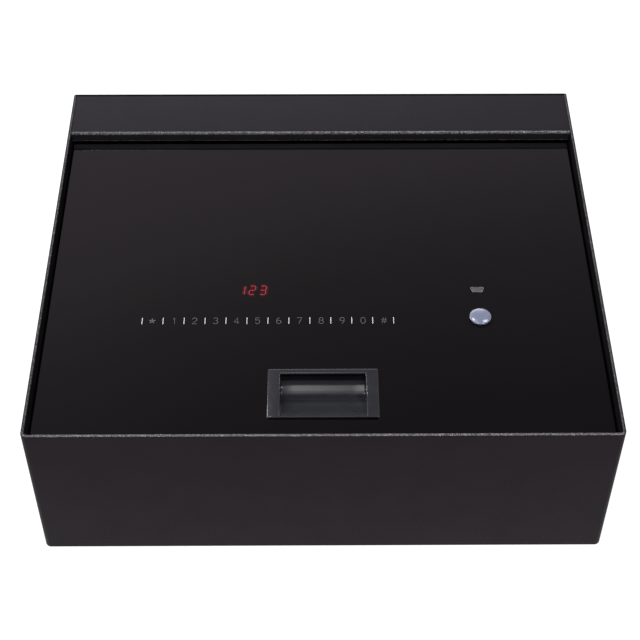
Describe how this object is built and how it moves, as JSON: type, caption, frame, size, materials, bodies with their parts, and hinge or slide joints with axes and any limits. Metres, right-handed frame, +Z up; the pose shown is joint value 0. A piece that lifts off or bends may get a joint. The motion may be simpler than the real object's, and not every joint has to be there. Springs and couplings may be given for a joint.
{
  "type": "top-loading safe",
  "caption": "Top-loading steel safe: glass-faced lid hinged under a rear cover strip, with keypad, display, pull handle, motor bolts and key override.",
  "frame": {"origin": "middle of the base, on the surface that the safe stands on", "axes": "+Z up, front wall towards -Y, hinge side and rear cover strip towards +Y, +X to the right seen from the front"},
  "size_m": [0.4, 0.35, 0.13],
  "materials": {
    "case_paint": "textured black powder coat",
    "strip_paint": "textured black powder coat",
    "lid_paint": "smooth black powder coat",
    "black_glass": "polished black glass",
    "tape": "foam bonding tape",
    "handle_plastic": "satin black moulding",
    "black_plastic": "fine matt moulding",
    "cover_plastic": "textured black moulding",
    "guide_plastic": "natural nylon",
    "spacer_plastic": "natural nylon",
    "red_plastic": "gloss red",
    "rubber": "matt black rubber",
    "floor_mat": "black felt",
    "zinc_steel": "bright zinc plate",
    "bolt_steel": "turned steel",
    "lock_metal": "nickel plate",
    "cap_metal": "satin chrome with a blue cast",
    "port_metal": "tin plate",
    "motor_metal": "plated steel can",
    "contact_metal": "nickel spring plate",
    "brass": "turned brass",
    "circuit_board": "green solder mask",
    "display_plastic": "dark red window",
    "cell_jacket": "printed jacket without words",
    "wire_sheath": "red sheath",
    "strut_paint": "gloss black enamel",
    "strut_chrome": "polished rod"
  },
  "bodies": {
    "case": {"body_wrap": "case_paint", "base_plate": "case_paint", "floor_mat": "floor_mat", "rear_cover_strip": "strip_paint", "strike_angle": "case_paint", "lid_stop_pads": "rubber", "hinge_bracket_left": "case_paint", "hinge_bracket_right": "case_paint", "hinge_pins": "zinc_steel", "hinge_clips": "zinc_steel", "strut_bracket_left": "case_paint", "strut_bracket_right": "case_paint", "foot_strut_pins": "zinc_steel"},
    "lid": {"glass_panel": "black_glass", "glass_tape": "tape", "lid_plate": "lid_paint", "handle_cup": "handle_plastic", "handle_strap": "zinc_steel", "lid_screws": "zinc_steel", "keypad_board": "circuit_board", "display_module": "display_plastic", "control_board": "circuit_board", "board_spacers": "spacer_plastic", "buzzer": "black_plastic", "power_port": "port_metal", "port_board": "circuit_board", "lock_bezel": "black_plastic", "lock_cylinder": "lock_metal", "lock_nut": "zinc_steel", "gear_motor": "motor_metal", "motor_bracket": "zinc_steel", "wire_leads": "wire_sheath", "battery_box": "black_plastic", "cells": "cell_jacket", "battery_contacts": "contact_metal", "inner_cover": "cover_plastic", "cover_screws": "zinc_steel", "hinge_arm_left": "lid_paint", "hinge_arm_right": "lid_paint", "lid_strut_bracket_left": "zinc_steel", "lid_strut_bracket_right": "zinc_steel", "lid_strut_pins": "zinc_steel", "bolt_guide_left": "guide_plastic", "bolt_guide_right": "guide_plastic"},
    "bolts": {"bolt_bar": "zinc_steel", "lock_bolt_left": "bolt_steel", "lock_bolt_right": "bolt_steel", "bolt_nuts": "zinc_steel"},
    "pinion": {"drive_pinion": "brass", "motor_shaft": "bolt_steel"},
    "lock_plug": {"lock_plug": "brass", "lock_cam": "zinc_steel"},
    "keyhole_cap": {"keyhole_cap": "cap_metal"},
    "reset_button": {"reset_button": "red_plastic"},
    "battery_cover": {"battery_cover": "cover_plastic"},
    "strut_tube_left": {"strut_tube_left": "strut_paint"},
    "strut_tube_right": {"strut_tube_right": "strut_paint"},
    "strut_rod_left": {"strut_rod_left": "strut_chrome"},
    "strut_rod_right": {"strut_rod_right": "strut_chrome"}
  },
  "joints": [
    {"name": "lid_hinge", "type": "hinge", "parent": "case", "child": "lid", "pos_m": [0, 0.142, 0.1225], "axis": [-1, 0, 0], "range_deg": [0, 80]},
    {"name": "strut_foot_left", "type": "hinge", "parent": "case", "child": "strut_tube_left", "pos_m": [-0.1865, 0.12424, 0.024], "axis": [-1, 0, 0], "range_deg": [0, 40]},
    {"name": "strut_head_left", "type": "hinge", "parent": "lid", "child": "strut_rod_left", "pos_m": [-0.1865, 0.04337, 0.1055], "axis": [1, 0, 0], "range_deg": [0, 40]},
    {"name": "strut_foot_right", "type": "hinge", "parent": "case", "child": "strut_tube_right", "pos_m": [0.1865, 0.12424, 0.024], "axis": [-1, 0, 0], "range_deg": [0, 40]},
    {"name": "strut_head_right", "type": "hinge", "parent": "lid", "child": "strut_rod_right", "pos_m": [0.1865, 0.04337, 0.1055], "axis": [1, 0, 0], "range_deg": [0, 40]},
    {"name": "bolt_slide", "type": "slide", "parent": "lid", "child": "bolts", "axis": [0, -1, 0], "range_m": [0, 0.012]},
    {"name": "pinion_turn", "type": "hinge", "parent": "lid", "child": "pinion", "pos_m": [0.053, -0.062, 0.0936], "axis": [1, 0, 0], "range_deg": [0, 107.44]},
    {"name": "key_turn", "type": "hinge", "parent": "lid", "child": "lock_plug", "pos_m": [0.1125, -0.062, 0.0935], "axis": [0, 0, -1], "range_deg": [0, 90]},
    {"name": "cap_pull", "type": "slide", "parent": "lid", "child": "keyhole_cap", "axis": [0, 0, 1], "range_m": [0, 0.012]},
    {"name": "reset_press", "type": "slide", "parent": "lid", "child": "reset_button", "axis": [0, 0, 1], "range_m": [0, 0.0012], "stiffness_N_per_m": 250},
    {"name": "battery_slide", "type": "slide", "parent": "lid", "child": "battery_cover", "axis": [0, 1, 0], "range_m": [0, 0.055]}
  ],
  "couplings": [
    {"joint": "strut_foot_left", "follows": "lid_hinge", "ratio": 0.5},
    {"joint": "strut_head_left", "follows": "lid_hinge", "ratio": 0.5},
    {"joint": "strut_foot_right", "follows": "lid_hinge", "ratio": 0.5},
    {"joint": "strut_head_right", "follows": "lid_hinge", "ratio": 0.5},
    {"joint": "pinion_turn", "follows": "bolt_slide", "rad_per_m": 156.25},
    {"joint": "key_turn", "follows": "bolt_slide", "rad_per_m": 130.9}
  ]
}
